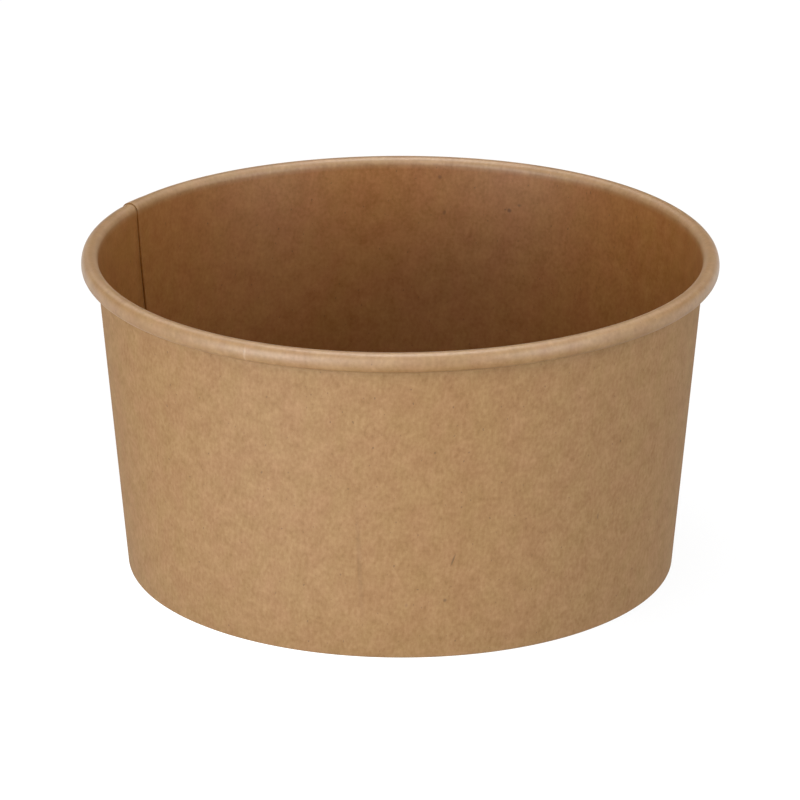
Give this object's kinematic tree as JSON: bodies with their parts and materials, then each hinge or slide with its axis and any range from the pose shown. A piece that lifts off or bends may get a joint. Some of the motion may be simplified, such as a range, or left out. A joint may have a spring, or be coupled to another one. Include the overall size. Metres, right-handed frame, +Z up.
{
  "type": "paper bowl",
  "caption": "Round kraft board salad bowl with a tapered wound wall, lapped side seam, rolled rim and a recessed floor disc held in a folded base edge.",
  "frame": {"origin": "centre of the folded base ring, in the plane that the bowl stands on", "axes": "+Z up along the bowl's axis; +X to the viewer's right and -Y towards the viewer, with the side seam at the back left"},
  "size_m": [0.15, 0.15, 0.077],
  "materials": {
    "kraft_board_wall": "uncoated brown kraft outside, thin clear coating inside",
    "kraft_board_base": "brown kraft with a thin clear coating on the food side"
  },
  "bodies": {
    "root": {"side_wall": "kraft_board_wall", "base_disc": "kraft_board_base"}
  },
  "joints": []
}
